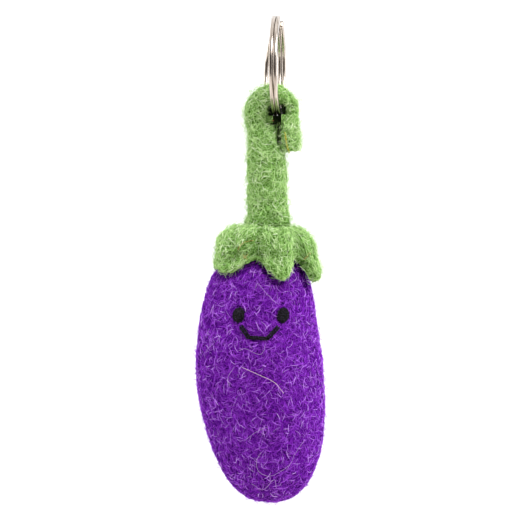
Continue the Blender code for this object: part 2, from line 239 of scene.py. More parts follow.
# Felt stem and loop: a roll of green wool that runs up from the cap, over the key ring and down
# again. Its cut end is needled to the stem's right side, and thinner felt joins them in between.
STEM_STATIONS = (
    (-2.55, -50.75, 5.30, 5.00),
    (-2.55, -50.20, 5.80, 5.50),
    (-2.55, -47.20, 5.10, 4.95),
    (-2.65, -43.00, 4.95, 4.80),
    (-2.60, -38.50, 4.90, 4.70),
    (-2.75, -34.00, 4.80, 4.60),
    (-3.00, -31.00, 4.60, 4.40),
    (-3.75, -28.00, 4.05, 4.00),
    (-4.60, -25.20, 3.30, 3.50),
    (-5.10, -22.50, 2.95, 3.15),
    (-4.55, -19.90, 2.90, 2.95),
    (-2.95, -18.30, 2.80, 2.85),
    (-0.90, -17.88, 2.75, 2.80),
    (1.15, -18.38, 2.43, 2.75),
    (3.15, -19.80, 1.85, 2.65),
    (3.45, -22.20, 1.95, 2.70),
    (3.40, -24.50, 2.00, 2.60),
    (3.20, -25.50, 1.60, 2.10),
)
TAIL_STATIONS = (
    (3.45, -21.60, 1.30, 1.50),
    (3.40, -22.80, 1.80, 2.00),
    (3.35, -24.20, 2.10, 2.50),
    (3.05, -25.80, 2.45, 2.85),
    (2.85, -27.40, 2.70, 3.00),
    (3.00, -29.40, 2.75, 3.00),
    (3.20, -31.20, 2.65, 2.90),
    (3.30, -32.15, 2.10, 2.40),
)
TAIL_FORWARD = -0.9 * MM
WEB_STATIONS = (
    (-0.40, -24.70, 1.60, 0.90),
    (-0.30, -25.10, 2.10, 1.60),
    (0.10, -26.60, 1.90, 2.10),
    (0.60, -28.60, 1.30, 2.40),
    (0.80, -29.80, 0.90, 2.20),
)
STEM_DENTS = (
    (-1.4, -48.7, 1.0, 1.3, 1.1),
    (-5.2, -47.9, 2.0, 1.8, -0.4),
    (-3.2, -48.9, 1.0, 1.2, -0.35),
    (1.3, -48.2, 1.5, 1.6, -0.35),
    (-2.0, -44.5, 2.5, 1.2, 0.25),
    (-4.5, -36.5, 1.5, 2.5, 0.2),
    (-0.9, -31.5, 1.0, 1.6, 0.3),
)
CORD_TABLE_STEPS = 24
CORD_SIDES = 96
FELTING_GRID = 0.22 * MM
LUMP_SIZE = 3.4 * MM
TUFT_SIZE = 1.2 * MM
PIT_SIZE = 0.55 * MM
STEM_RELIEF = (0.25 * MM, 0.18 * MM, 0.10 * MM)
FIBRE_ROOM = 0.3 * MM
HINGE = np.array([-0.0003, 0.0, -0.0179])
SWING_STOPS = np.radians((-35.0, -18.0, 0.0, 18.0, 35.0))
WIRE_ROOM = 0.25 * MM
FIBRE_STATIONS = 6
# Each layer: (rise off the felt in mm, tone range). Deep layers get dark tones and top layers pale ones: painted
# shade in the mat, with random tone inside each range.
MAT_LAYERS = (
    ((0.0, 0.12), (0.0, 0.35)),
    ((0.08, 0.25), (0.12, 0.70)),
    ((0.16, 0.40), (0.40, 1.0)),
)


def lattice_noise(points, cell, seed):
    """Smooth noise from -1 to 1: random values on a cube lattice, eased between its corners."""
    values = np.random.default_rng(seed).uniform(-1.0, 1.0, (32, 32, 32))
    place = points / cell + 512.0
    low = np.floor(place).astype(int)
    share = eased(place - low)
    total = np.zeros(points.shape[:-1])
    for corner in np.ndindex(2, 2, 2):
        index = (low + corner) % 32
        weight = np.prod(np.where(corner, share, 1.0 - share), axis=-1)
        total += weight * values[index[..., 0], index[..., 1], index[..., 2]]
    return total


def felt_relief(points, lump, tuft, pit):
    """How far felt stands off its form: broad lumps and tufts, and small pits pressed into it."""
    height = lump * lattice_noise(points, LUMP_SIZE, 11)
    height += tuft * lattice_noise(points, TUFT_SIZE, 12)
    return height + pit * lattice_noise(points, PIT_SIZE, 13) - FIBRE_ROOM


def dent_depth(points, dents):
    """How deep soft dents press into the front: bell curves about (x, z) places, in millimetres."""
    depth = np.zeros(points.shape[:-1])
    for x, z, half_width, half_height, deep in dents:
        away_x = (points[..., 0] / MM - x) / half_width
        away_z = (points[..., 2] / MM - z) / half_height
        depth += deep * MM * np.exp(-(away_x**2) - away_z**2)
    return depth * (points[..., 1] < 0.0)


def skin(surface, u, v):
    """Points of a surface over u and v with unit normals and the sizes of a step in u and in v."""
    nudge = 1.0e-4
    point = surface(u, v)
    along_u = (surface(u + nudge, v) - surface(u - nudge, v)) / (2.0 * nudge)
    along_v = (surface(u, v + nudge) - surface(u, v - nudge)) / (2.0 * nudge)
    normal = unit(np.cross(along_u, along_v))
    return point, normal, np.linalg.norm(along_u, axis=-1), np.linalg.norm(along_v, axis=-1)


def through(points, steps):
    """A smooth Catmull-Rom curve through every given point, with this many steps for each span."""
    points = np.asarray(points, dtype=float)
    held = np.vstack([2.0 * points[0] - points[1], points, 2.0 * points[-1] - points[-2]])
    share = np.linspace(0.0, 1.0, steps, endpoint=False)[:, None]
    spans = []
    for start in range(len(points) - 1):
        a, b, c, d = held[start:start + 4]
        straight = b + 0.5 * share * (c - a)
        bend = 0.5 * share**2 * (2.0 * a - 5.0 * b + 4.0 * c - d)
        twist = 0.5 * share**3 * (3.0 * b - a - 3.0 * c + d)
        spans.append(straight + bend + twist)
    return np.vstack([*spans, points[-1:]])


def cord_surface(stations, forward):
    """The skin of an oval cord as a function: u runs from its first end to its last, v round it."""
    table = MM * through(stations, CORD_TABLE_STEPS)
    run = np.insert(np.cumsum(np.hypot(*np.diff(table[:, :2], axis=0).T)), 0, 0.0)
    run /= run[-1]

    def surface(u, v):
        """Centre line in the XZ plane plus half width and half depth times cosine and sine."""
        held = np.clip(u, 0.0, 1.0)
        x, z, half_width, half_depth = (np.interp(held, run, column) for column in table.T)
        before = np.clip(held - 0.01, 0.0, 1.0)
        after = np.clip(held + 0.01, 0.0, 1.0)
        ahead_x = np.interp(after, run, table[:, 0]) - np.interp(before, run, table[:, 0])
        ahead_z = np.interp(after, run, table[:, 1]) - np.interp(before, run, table[:, 1])
        length = np.hypot(ahead_x, ahead_z)
        turn = 2.0 * math.pi * v
        width = half_width * np.cos(turn)
        return np.stack([
            x + width * ahead_z / length,
            forward - half_depth * np.sin(turn),
            z - width * ahead_x / length,
        ], axis=-1)

    return surface


def felt_skin(surface, relief, dents, u, v):
    """Skin points pushed off the smooth form by felt relief and dents, with normals and step sizes."""
    point, normal, size_u, size_v = skin(surface, u, v)
    off = felt_relief(point, *relief) - dent_depth(point, dents)
    return point + normal * off[..., None], normal, size_u, size_v


def felt_rows(surface, relief, dents, rows, sides):
    """Rings of points over a felt surface."""
    u = np.linspace(0.0, 1.0, rows)[:, None] + np.zeros((1, sides))
    v = np.linspace(0.0, 1.0, sides, endpoint=False)[None, :] + np.zeros((rows, 1))
    return felt_skin(surface, relief, dents, u, v)[0]


def join_shells(shells):
    """Several shells' points, quads and triangles as one set."""
    points, quads, triangles = [], [], []
    start = 0
    for shell_points, shell_quads, shell_triangles in shells:
        points.append(shell_points)
        quads.append(shell_quads + start)
        triangles.append(shell_triangles + start)
        start += len(shell_points)
    return np.concatenate(points), np.concatenate(quads), np.concatenate(triangles)


def clear_of_wire(points, swings=SWING_STOPS, room=WIRE_ROOM):
    """Which fibres keep clear of the key ring's wire wherever the charm swings on it."""
    clear = np.ones(len(points), dtype=bool)
    from_hinge = points - HINGE
    sideways = from_hinge @ RING_ACROSS - (RING_MIDDLE - HINGE) @ RING_ACROSS
    for swing in swings:
        away = from_hinge @ RING_AWAY * math.cos(swing) - from_hinge[..., 2] * math.sin(swing)
        up = from_hinge @ RING_AWAY * math.sin(swing) + from_hinge[..., 2] * math.cos(swing)
        radius = np.hypot(away - (RING_MIDDLE - HINGE) @ RING_AWAY, up - (RING_MIDDLE - HINGE)[2])
        near = np.abs(radius - 0.5 * (RING_OPENING + WIRE_HEIGHT)) < 0.5 * WIRE_HEIGHT + room
        beside = np.abs(sideways) < 0.5 * (WIRE_PITCH + WIRE_WIDTH) + room
        clear &= ~(near & beside).any(axis=1)
    return clear


def fibre_rows(surface, relief, dents, count, seed, length, curl, rise, tones, u_range, free=False):
    """Middle lines of wool fibres: each wanders over the felt with a steady curl of its own.

    A matted fibre starts and ends just under the skin and arches over it. A free one ends in the
    air. Returns the lines' points, their directions off the felt and a shade for each.
    """
    stations = FIBRE_STATIONS
    rng = np.random.default_rng(seed)
    u = rng.uniform(*u_range, 5 * count)
    v = rng.uniform(0.0, 1.0, 5 * count)
    _, _, size_u, size_v = skin(surface, u, v)
    area = size_u * size_v
    kept = np.flatnonzero(rng.random(5 * count) < area / np.percentile(area, 98.0))[:count]
    u, v, count = u[kept], v[kept], len(kept)
    heading = rng.uniform(0.0, 2.0 * math.pi, count)
    bend = rng.normal(0.0, curl, count) / MM
    sway = rng.normal(0.0, 0.6 * curl, count) / MM
    step = rng.uniform(*length, count) * MM / (stations - 1)
    lift = rng.random(count)
    top = MM * (rise[0] + (rise[1] - rise[0]) * (lift**2 if free else lift))
    points, normals = [], []
    for station in range(stations):
        share = station / (stations - 1)
        point, normal, size_u, size_v = felt_skin(surface, relief, dents, u, v)
        if free:
            off = (top + 0.15 * MM) * share**0.9 - 0.15 * MM
        else:
            off = (top + 0.1 * MM) * math.sin(math.pi * share) ** 0.6 - 0.1 * MM
        points.append(point + normal * off[:, None])
        normals.append(normal)
        u = np.clip(u + np.cos(heading) * step / np.maximum(size_u, 1.0 * MM), *u_range)
        v = v + np.sin(heading) * step / np.maximum(size_v, 1.0 * MM)
        heading = heading + (bend + sway * math.cos(3.0 * math.pi * share)) * step
    # Tone: partly random, partly painted shade, lighter the higher a fibre rises off the felt.
    shades = tones[0] + (tones[1] - tones[0]) * (0.4 * lift + 0.6 * rng.random(count))
    return np.stack(points, axis=1), np.stack(normals, axis=1), shades


def matted_layers(surface, relief, dents, counts, seed, u_range):
    """Layers of matted fibres over a skin, dark ones deep down and pale ones on top: painted shade in the mat."""
    return [
        fibre_rows(surface, relief, dents, count, seed + layer, (1.2, 3.4), 0.45, rise, tones, u_range)
        for layer, (count, (rise, tones)) in enumerate(zip(counts, MAT_LAYERS))
    ]


def fibre_mesh(name, points, normals, shades, radius, seed):
    """Three-sided fibres that taper to a point at both ends, with each one's shade as a value."""
    count, stations, _ = points.shape
    rng = np.random.default_rng(seed)
    thickness = radius * MM * rng.uniform(0.7, 1.2, count)
    along = np.linspace(0.0, 1.0, stations)
    taper = np.sin(math.pi * along[1:-1]) ** 0.4
    ahead = unit(np.gradient(points, axis=1))
    side = unit(np.cross(ahead, normals))
    upward = np.cross(side, ahead)
    angle = 2.0 * math.pi * np.arange(3) / 3.0
    radial = (
        np.cos(angle)[None, None, :, None] * side[:, 1:-1, None]
        + np.sin(angle)[None, None, :, None] * upward[:, 1:-1, None]
    )
    rings = points[:, 1:-1, None] + radial * (thickness[:, None] * taper)[..., None, None]
    inner = stations - 2
    every = np.concatenate([points[:, :1], rings.reshape(count, 3 * inner, 3), points[:, -1:]], axis=1)
    per_fibre = 3 * inner + 2
    offset = (per_fibre * np.arange(count))[:, None, None]
    quads = offset + 1 + ring_quads(inner, 3).reshape(1, -1, 4)
    side_index = np.arange(3)
    turn = (side_index + 1) % 3
    last = 1 + 3 * (inner - 1)
    start_cap = np.stack([np.zeros(3, int), 1 + turn, 1 + side_index], axis=-1)
    end_cap = np.stack([np.full(3, per_fibre - 1), last + side_index, last + turn], axis=-1)
    caps = offset + np.concatenate([start_cap, end_cap])[None]
    mesh = make_mesh(name, every.reshape(-1, 3), quads, caps)
    shade = mesh.attributes.new("shade", "FLOAT", "POINT")
    shade.data.foreach_set("value", np.repeat(shades, per_fibre).astype(np.float32))
    return mesh


def add_fibres(name, material, layers, radius, seed, keep=None, shading=None):
    """One piece of the charm's fibres from layers of middle lines, less those that aren't kept."""
    points, normals, shades = (np.concatenate(part) for part in zip(*layers))
    if keep is not None:
        kept = keep(points)
        points, normals, shades = points[kept], normals[kept], shades[kept]
    # shading multiplies the fibres' tones by place: painted shade in creases and under the cap.
    if shading is not None:
        shades = shades * shading(points[:, FIBRE_STATIONS // 2])
    mesh = fibre_mesh(name, points, normals, shades, radius, seed)
    return make_piece(name, mesh, material, "charm")


def wool_web_group():
    """Matted wool as a pattern: Web is high on thin curled strands, Clump is a slow change of tone.

    A strand lies wherever a noise crosses its middle value, in three layers of different sizes.
    """
    group = bpy.data.node_groups.new("wool_web", "ShaderNodeTree")
    group.interface.new_socket("Web", in_out="OUTPUT", socket_type="NodeSocketFloat")
    group.interface.new_socket("Clump", in_out="OUTPUT", socket_type="NodeSocketFloat")
    result = add_node(group, "NodeGroupOutput")
    place = add_node(group, "ShaderNodeTexCoord")
    strands = None
    for size, shift in ((1500.0, 0.0), (1050.0, 0.31), (780.0, 0.67)):
        moved = add_node(group, "ShaderNodeMapping")
        moved.inputs["Location"].default_value = (shift, -shift, 0.5 * shift)
        group.links.new(place.outputs["Object"], moved.inputs["Vector"])
        noise = add_node(group, "ShaderNodeTexNoise", Scale=size, Detail=1.5, Roughness=0.4, Distortion=0.8)
        group.links.new(moved.outputs["Vector"], noise.inputs["Vector"])
        from_middle = add_node(group, "ShaderNodeMath", operation="SUBTRACT")
        from_middle.inputs[1].default_value = 0.5
        group.links.new(noise.outputs["Fac"], from_middle.inputs[0])
        distance = add_node(group, "ShaderNodeMath", operation="ABSOLUTE")
        group.links.new(from_middle.outputs["Value"], distance.inputs[0])
        line = add_node(group, "ShaderNodeMapRange", From_Min=0.0, From_Max=0.07, To_Min=1.0, To_Max=0.0)
        group.links.new(distance.outputs["Value"], line.inputs["Value"])
        if strands is None:
            strands = line.outputs["Result"]
        else:
            larger = add_node(group, "ShaderNodeMath", operation="MAXIMUM")
            group.links.new(strands, larger.inputs[0])
            group.links.new(line.outputs["Result"], larger.inputs[1])
            strands = larger.outputs["Value"]
    group.links.new(strands, result.inputs["Web"])
    clump = add_node(group, "ShaderNodeTexNoise", Scale=260.0, Detail=3.0, Roughness=0.6)
    group.links.new(place.outputs["Object"], clump.inputs["Vector"])
    group.links.new(clump.outputs["Fac"], result.inputs["Clump"])
    return group


wool_web = wool_web_group()


def wool_base_material(name, pit, strand, light_strand):
    """Matted wool: strands over dark pits, lighter in some clumps than in others, with no shine. The pits' dark
    colour is painted shade between the strands.
    """
    material, tree, shader = new_material(name)
    web = add_node(tree, "ShaderNodeGroup", node_tree=wool_web)
    # The pit colour at the ramp's start is painted shade; the strand colours and the clump changes are the wool's
    # own tone.
    tones = ramp(tree, ((0.0, pit), (0.55, strand), (1.0, light_strand)), web.outputs["Web"])
    shading = add_node(tree, "ShaderNodeMapRange", From_Min=0.3, From_Max=0.7, To_Min=0.8, To_Max=1.2)
    tree.links.new(web.outputs["Clump"], shading.inputs["Value"])
    mixed = add_node(tree, "ShaderNodeVectorMath", operation="SCALE")
    tree.links.new(tones.outputs["Color"], mixed.inputs["Vector"])
    tree.links.new(shading.outputs["Result"], mixed.inputs["Scale"])
    tree.links.new(mixed.outputs["Vector"], shader.inputs["Base Color"])
    bump = add_node(tree, "ShaderNodeBump", Strength=0.7, Distance=0.00015)
    tree.links.new(web.outputs["Web"], bump.inputs["Height"])
    tree.links.new(bump.outputs["Normal"], shader.inputs["Normal"])
    shader.inputs["Roughness"].default_value = 0.95
    shader.inputs["Specular IOR Level"].default_value = 0.02
    return material


def wool_fibre_material(name, tones):
    """Loose wool fibres, each of its own tone from its shade value, which holds random tone and painted shade, with
    hardly any shine.
    """
    material, tree, shader = new_material(name)
    shade = add_node(tree, "ShaderNodeAttribute", attribute_name="shade")
    colour = ramp(tree, tones, shade.outputs["Fac"])
    tree.links.new(colour.outputs["Color"], shader.inputs["Base Color"])
    shader.inputs["Roughness"].default_value = 0.8
    shader.inputs["Specular IOR Level"].default_value = 0.03
    return material


# The first colour, for the pits, is painted shade.
green_base = wool_base_material(
    "green_wool", (0.02, 0.06, 0.01), (0.13, 0.28, 0.05), (0.30, 0.52, 0.15),
)
green_fibre = wool_fibre_material("green_wool_fibres", (
    (0.0, (0.015, 0.045, 0.006)),
    (0.2, (0.10, 0.24, 0.035)),
    (0.5, (0.29, 0.54, 0.14)),
    (0.8, (0.53, 0.74, 0.32)),
    (1.0, (0.86, 0.91, 0.72)),
))
stem_skin = cord_surface(STEM_STATIONS, 0.0)
tail_skin = cord_surface(TAIL_STATIONS, TAIL_FORWARD)
web_skin = cord_surface(WEB_STATIONS, 0.0)


def felted_cord():
    """Stem, cut end and web as one closed skin: their shells merged on a fine grid of cubes."""
    shells = [
        closed_tube(felt_rows(stem_skin, STEM_RELIEF, STEM_DENTS, 200, CORD_SIDES)),
        closed_tube(felt_rows(tail_skin, STEM_RELIEF, (), 60, CORD_SIDES)),
        closed_tube(felt_rows(web_skin, STEM_RELIEF, (), 40, CORD_SIDES)),
    ]
    mesh = make_mesh("felt_stem", *join_shells(shells))
    piece = make_piece("felt_stem", mesh, green_base, "charm")
    merge = piece.modifiers.new("felting", "REMESH")
    merge.mode = "VOXEL"
    merge.voxel_size = FELTING_GRID
    merge.use_smooth_shade = True
    return piece


felt_stem = felted_cord()
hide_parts("stem_loop")



def stem_painted_shade(points):
    """Painted shade on the stem's fibres: how light they come out at a place, darker in the slit and in the dents
    at the foot, where shade falls.
    """
    x, z = points[:, 0] / MM, points[:, 2] / MM
    slit = np.exp(-(((x - 0.55) / 0.55) ** 2)) * eased((z + 31.5) / 1.5) * eased((-23.5 - z) / 1.0)
    dimple = np.exp(-(((x + 1.4) / 0.8) ** 2) - ((z + 48.7) / 1.3) ** 2)
    crease = np.exp(-(((z + 50.3) / 0.5) ** 2))
    return 1.0 - np.clip(0.85 * slit + 0.6 * dimple + 0.7 * crease, 0.0, 0.9)


add_fibres("stem_fibres", green_fibre, [
    *matted_layers(stem_skin, STEM_RELIEF, STEM_DENTS, (2100, 2100, 1700), 21, (0.0, 0.96)),
    *matted_layers(tail_skin, STEM_RELIEF, (), (520, 520, 450), 121, (0.12, 0.99)),
], 0.085, 23, clear_of_wire, stem_painted_shade)
add_fibres("stem_fuzz", green_fibre, [
    fibre_rows(stem_skin, STEM_RELIEF, (), 4200, 24, (1.2, 4.0), 0.4, (0.3, 2.2), (0.3, 1.0), (0.01, 0.96), True),
    fibre_rows(tail_skin, STEM_RELIEF, (), 1000, 25, (1.2, 4.0), 0.4, (0.3, 2.0), (0.3, 1.0), (0.2, 0.98), True),
], 0.034, 26, clear_of_wire)


# Fibres in the loop's hole round the wire and in the slit between stem and cut end: a dark fill that stands in for
# the shade there, painted shade, with three reddish-brown strands across the hole. Fibres that would touch the
# ring's wire as the charm hangs are left out.
HOLE_TANGLES = (
    (900, (-2.0, 1.7), (-1.9, 1.9), (-25.3, -23.05), (0.0, 0.3)),
    (300, (-2.2, -1.1), (-1.5, 1.8), (-24.4, -20.3), (0.0, 0.25)),
    (420, (1.0, 1.9), (-1.9, 1.9), (-24.4, -20.3), (0.0, 0.25)),
    (3, (-1.9, 0.2), (-2.6, -2.1), (-24.4, -23.4), (0.8, 1.0)),
)
HOLE_EDGE_TANGLES = (
    (60, (-2.3, -1.3), (-2.9, -1.9), (-24.9, -23.2), (0.2, 0.7)),
    (60, (1.0, 2.0), (-2.9, -1.9), (-24.9, -22.9), (0.2, 0.7)),
)
SLIT_TANGLES = (
    (230, (0.0, 0.9), (-3.3, -2.3), (-30.4, -24.8), (0.0, 0.45)),
)
TANGLE_ROOM = 0.08 * MM


def tangle(count, x_range, y_range, z_range, tones, seed):
    """Middle lines of loose wool that wanders at random inside a box, sizes in millimetres."""
    rng = np.random.default_rng(seed)
    low = MM * np.array([x_range[0], y_range[0], z_range[0]])
    high = MM * np.array([x_range[1], y_range[1], z_range[1]])
    place = rng.uniform(low, high, (count, 3))
    heading = unit(rng.normal(0.0, 1.0, (count, 3)) * (high - low))
    points = []
    for station in range(FIBRE_STATIONS):
        points.append(place)
        heading = unit(heading + rng.normal(0.0, 0.45, (count, 3)))
        place = np.clip(place + 0.4 * MM * heading, low, high)
    normals = np.tile([0.0, -1.0, 0.02], (count, FIBRE_STATIONS, 1))
    shades = rng.uniform(*tones, count)
    return np.stack(points, axis=1), normals, shades


def clear_at_rest(points):
    """Which fibres lie wholly beside the wire or wholly below it, clear of it as the charm hangs."""
    sideways = np.abs((points - RING_MIDDLE) @ RING_ACROSS)
    beside = (sideways > 0.5 * (WIRE_PITCH + WIRE_WIDTH) + TANGLE_ROOM).all(axis=1)
    below = (points[..., 2] < RING_MIDDLE[2] - 0.5 * RING_OPENING - WIRE_HEIGHT).all(axis=1)
    return clear_of_wire(points, SWING_STOPS[2:3], TANGLE_ROOM) & (beside | below)


# Tones up to 0.5 are the dark fill, painted shade; the brown tones from 0.8 are the three reddish-brown strands.
hole_shade_and_brown_fibre = wool_fibre_material("shade_fill_and_brown_wool_fibres", (
    (0.0, (0.004, 0.006, 0.003)),
    (0.3, (0.02, 0.035, 0.01)),
    (0.5, (0.10, 0.16, 0.04)),
    (0.8, (0.20, 0.08, 0.03)),
    (1.0, (0.45, 0.20, 0.10)),
))
# The hole's and the slit's dark fibres are painted shade; the green ones fill the hole's lower corners.
for name, wool, boxes in (
    ("hole_shade_and_brown_wool", hole_shade_and_brown_fibre, HOLE_TANGLES),
    ("hole_edge_wool", green_fibre, HOLE_EDGE_TANGLES),
    ("slit_shade_wool", hole_shade_and_brown_fibre, SLIT_TANGLES),
):
    lines = [tangle(*box, 91 + number) for number, box in enumerate(boxes)]
    loose_wool = add_fibres(name, wool, lines, 0.08, 92, clear_at_rest)
    if boxes is not SLIT_TANGLES:
        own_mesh(loose_wool)


# Felt cap: a puffy green rosette, needled down over the body's top, with round lobes all round it.
# A crease runs round the stem's foot, and folds run up from the notches between the lobes.
BODY_TOP = -52.2 * MM
BODY_BOTTOM = -119.7 * MM
BODY_RADIUS = 16.0 * MM
BODY_FLATNESS = 0.92
BODY_FULLNESS = 0.8
BODY_TAPER = 0.033
WAIST_DEPTH = 0.027
WAIST_PLACE = 0.35
WAIST_WIDTH = 0.25
TUCK_DEPTH = 0.13
TUCK_START = 0.66
TUCK_LENGTH = 0.15
BOW_MIDDLE = -3.4 * MM
BOW_REACH = 1.45 * MM
BOW_HEIGHT = -76.0 * MM
BOW_WAVELENGTH = 92.0 * MM
CALYX_EDGE = (
    (-92.0, -60.6, 2.4),
    (-38.0, -63.5, 2.6),
    (-7.0, -60.0, 1.8),
    (24.0, -64.9, 2.4),
    (46.0, -60.2, 1.9),
    (61.0, -65.4, 3.0),
    (88.0, -61.4, 2.3),
    (109.0, -64.4, 2.7),
    (131.0, -60.2, 1.8),
    (152.0, -64.8, 2.5),
    (173.0, -60.0, 1.8),
    (194.0, -64.6, 2.4),
    (213.0, -60.2, 1.7),
    (233.0, -63.2, 1.9),
)
CALYX_THICKNESS = 1.6 * MM
CALYX_CROWN = 3.2 * MM
CALYX_CROWN_PLACE = 1.5
CALYX_CROWN_ROUND = 1.6
CROWN_MIDDLE = -3.3 * MM
CROWN_TOP = -50.4 * MM
CROWN_FLAT = 6.4 * MM
CROWN_REACH = 6.9 * MM
CROWN_DROP = 7.6 * MM
CALYX_CURL = 1.4 * MM
CALYX_CURL_SIDE = math.radians(75.0)
FOLD_DEPTH = 0.26
FOLD_WIDTH = math.radians(8.0)
CALYX_DENTS = (
    (-1.6, -55.1, 0.9, 1.7, 0.9),
    (-10.9, -55.9, 0.8, 2.6, 0.8),
    (-6.6, -57.9, 3.0, 0.9, 0.4),
    (6.3, -59.4, 0.9, 2.2, 0.9),
    (-13.6, -58.5, 1.8, 2.4, -0.3),
    (2.0, -59.8, 1.8, 2.4, -0.4),
    (8.6, -58.8, 1.6, 2.4, -0.3),
)
FOOT_PLACE = -2.55 * MM
FOOT_RADIUS = 6.25 * MM
FOOT_DEPTH = 0.8 * MM
CALYX_GAP = 0.3 * MM
CALYX_SIDES = 380
CALYX_OUTER_ROWS = 90
CALYX_RIM_ROWS = 24
CALYX_INNER_ROWS = 30
OUTER_SHARE = 0.72
CALYX_RELIEF = (0.30 * MM, 0.20 * MM, 0.10 * MM)


def body_radius(height):
    """The body's half width at a height: a sine dome, taper towards the top, a slight waist and a
    shoulder that is tucked in under the cap.
    """
    half_length = 0.5 * (BODY_TOP - BODY_BOTTOM)
    level = np.clip((height - 0.5 * (BODY_TOP + BODY_BOTTOM)) / half_length, -1.0, 1.0)
    dome = np.sqrt(1.0 - level**2)
    waist = WAIST_DEPTH * dome * np.exp(-((level - WAIST_PLACE) / WAIST_WIDTH) ** 2)
    tuck = 1.0 - TUCK_DEPTH * eased((level - TUCK_START) / TUCK_LENGTH)
    return BODY_RADIUS * tuck * (dome**BODY_FULLNESS * (1.0 - BODY_TAPER * level) - waist)


def body_axis(height):
    """The x of the body's middle line at a height, one slow wave."""
    return BOW_MIDDLE - BOW_REACH * np.cos(2.0 * math.pi * (height - BOW_HEIGHT) / BOW_WAVELENGTH)


def body_point(latitude, angle):
    """A point of the body's surface: latitude 0 is the top and pi the bottom, angle 0 the front."""
    half_length = 0.5 * (BODY_TOP - BODY_BOTTOM)
    height = 0.5 * (BODY_TOP + BODY_BOTTOM) + half_length * np.cos(latitude)
    radius = body_radius(height)
    x = body_axis(height) + radius * np.sin(angle)
    y = -BODY_FLATNESS * radius * np.cos(angle)
    return np.stack([x, y, height + 0.0 * angle], axis=-1)


def latitude_of(height):
    """The latitude at which the body's surface has this height."""
    half_length = 0.5 * (BODY_TOP - BODY_BOTTOM)
    return np.arccos(np.clip((height - 0.5 * (BODY_TOP + BODY_BOTTOM)) / half_length, -1.0, 1.0))


def body_frame(latitude, angle):
    """A surface point with its outward normal and the direction that runs down the surface."""
    nudge = 1.0e-4
    point = body_point(latitude, angle)
    downward = unit(body_point(latitude + nudge, angle) - point)
    sideways = unit(body_point(latitude, angle + nudge) - point)
    return point, unit(np.cross(downward, sideways)), downward


def calyx_edge(angle):
    """Height and thickness of the cap's lower edge, eased between its notches and lobe tips."""
    stops = np.radians([stop for stop, _, _ in CALYX_EDGE])
    stops = np.append(stops, stops[0] + 2.0 * math.pi)
    wrapped = stops[0] + np.mod(angle - stops[0], 2.0 * math.pi)
    span = np.clip(np.searchsorted(stops, wrapped, side="right") - 1, 0, len(stops) - 2)
    share = eased((wrapped - stops[span]) / (stops[span + 1] - stops[span]))
    values = MM * np.array([stop[1:] for stop in (*CALYX_EDGE, CALYX_EDGE[0])])
    edge = values[span] + share[..., None] * (values[span + 1] - values[span])
    return edge[..., 0], edge[..., 1]


def calyx_folds(angle):
    """How deep the nearest fold is: one above each notch between two lobes, zero on the lobes."""
    depth = np.zeros_like(angle)
    for stop, _, _ in CALYX_EDGE[::2]:
        away = np.angle(np.exp(1j * (angle - math.radians(stop))))
        depth = np.maximum(depth, np.exp(-((away / FOLD_WIDTH) ** 2)))
    return depth


def calyx_curl(angle):
    """How far the lobes stand off the body, most on the right side."""
    return CALYX_CURL * eased(np.cos(angle - CALYX_CURL_SIDE))


def under_crown(points):
    """The same points, none of them above the crown: flat in the middle, a quarter ellipse round it."""
    from_middle = np.hypot(points[..., 0] - CROWN_MIDDLE, 1.05 * points[..., 1])
    share = np.clip((from_middle - CROWN_FLAT) / CROWN_REACH, 0.0, 1.0)
    highest = CROWN_TOP - CROWN_DROP * (1.0 - np.sqrt(1.0 - share**2))
    held = points.copy()
    held[..., 2] = np.minimum(points[..., 2], highest)
    return held


def calyx_skin(u, v):
    """The cap's outer skin and rim: u runs from the crown down and round the rim, v round the body.

    Up to OUTER_SHARE the skin is the body's dome plus a thickness that swells like a sine. Past it
    a half circle closes the edge. Near the stem's foot the crown is flat, and sunk under the foot.
    """
    angle = 2.0 * math.pi * v
    edge_height, rim_thickness = calyx_edge(angle)
    last_latitude = latitude_of(edge_height + 0.5 * rim_thickness)
    reach = np.clip(u / OUTER_SHARE, 0.0, 1.0)
    thickness = CALYX_THICKNESS + (rim_thickness - CALYX_THICKNESS) * reach
    thickness = thickness + CALYX_CROWN * np.sin(math.pi * reach**CALYX_CROWN_PLACE) ** CALYX_CROWN_ROUND
    thickness = thickness * (1.0 - FOLD_DEPTH * calyx_folds(angle) * np.sin(math.pi * reach**2))
    point, normal, downward = body_frame(last_latitude * np.maximum(reach, 1.0e-3), angle)
    sweep = math.pi * np.clip((u - OUTER_SHARE) / (1.0 - OUTER_SHARE), 0.0, 1.0)
    half = 0.5 * thickness
    off = CALYX_GAP + calyx_curl(angle) * reach**3 + half + half * np.cos(sweep)
    out = under_crown(point + normal * off[..., None] + downward * (half * np.sin(sweep))[..., None])
    from_foot = np.hypot(out[..., 0] - FOOT_PLACE, 1.05 * out[..., 1])
    out[..., 2] -= FOOT_DEPTH * eased((FOOT_RADIUS + 0.4 * MM - from_foot) / (0.5 * MM))
    return out


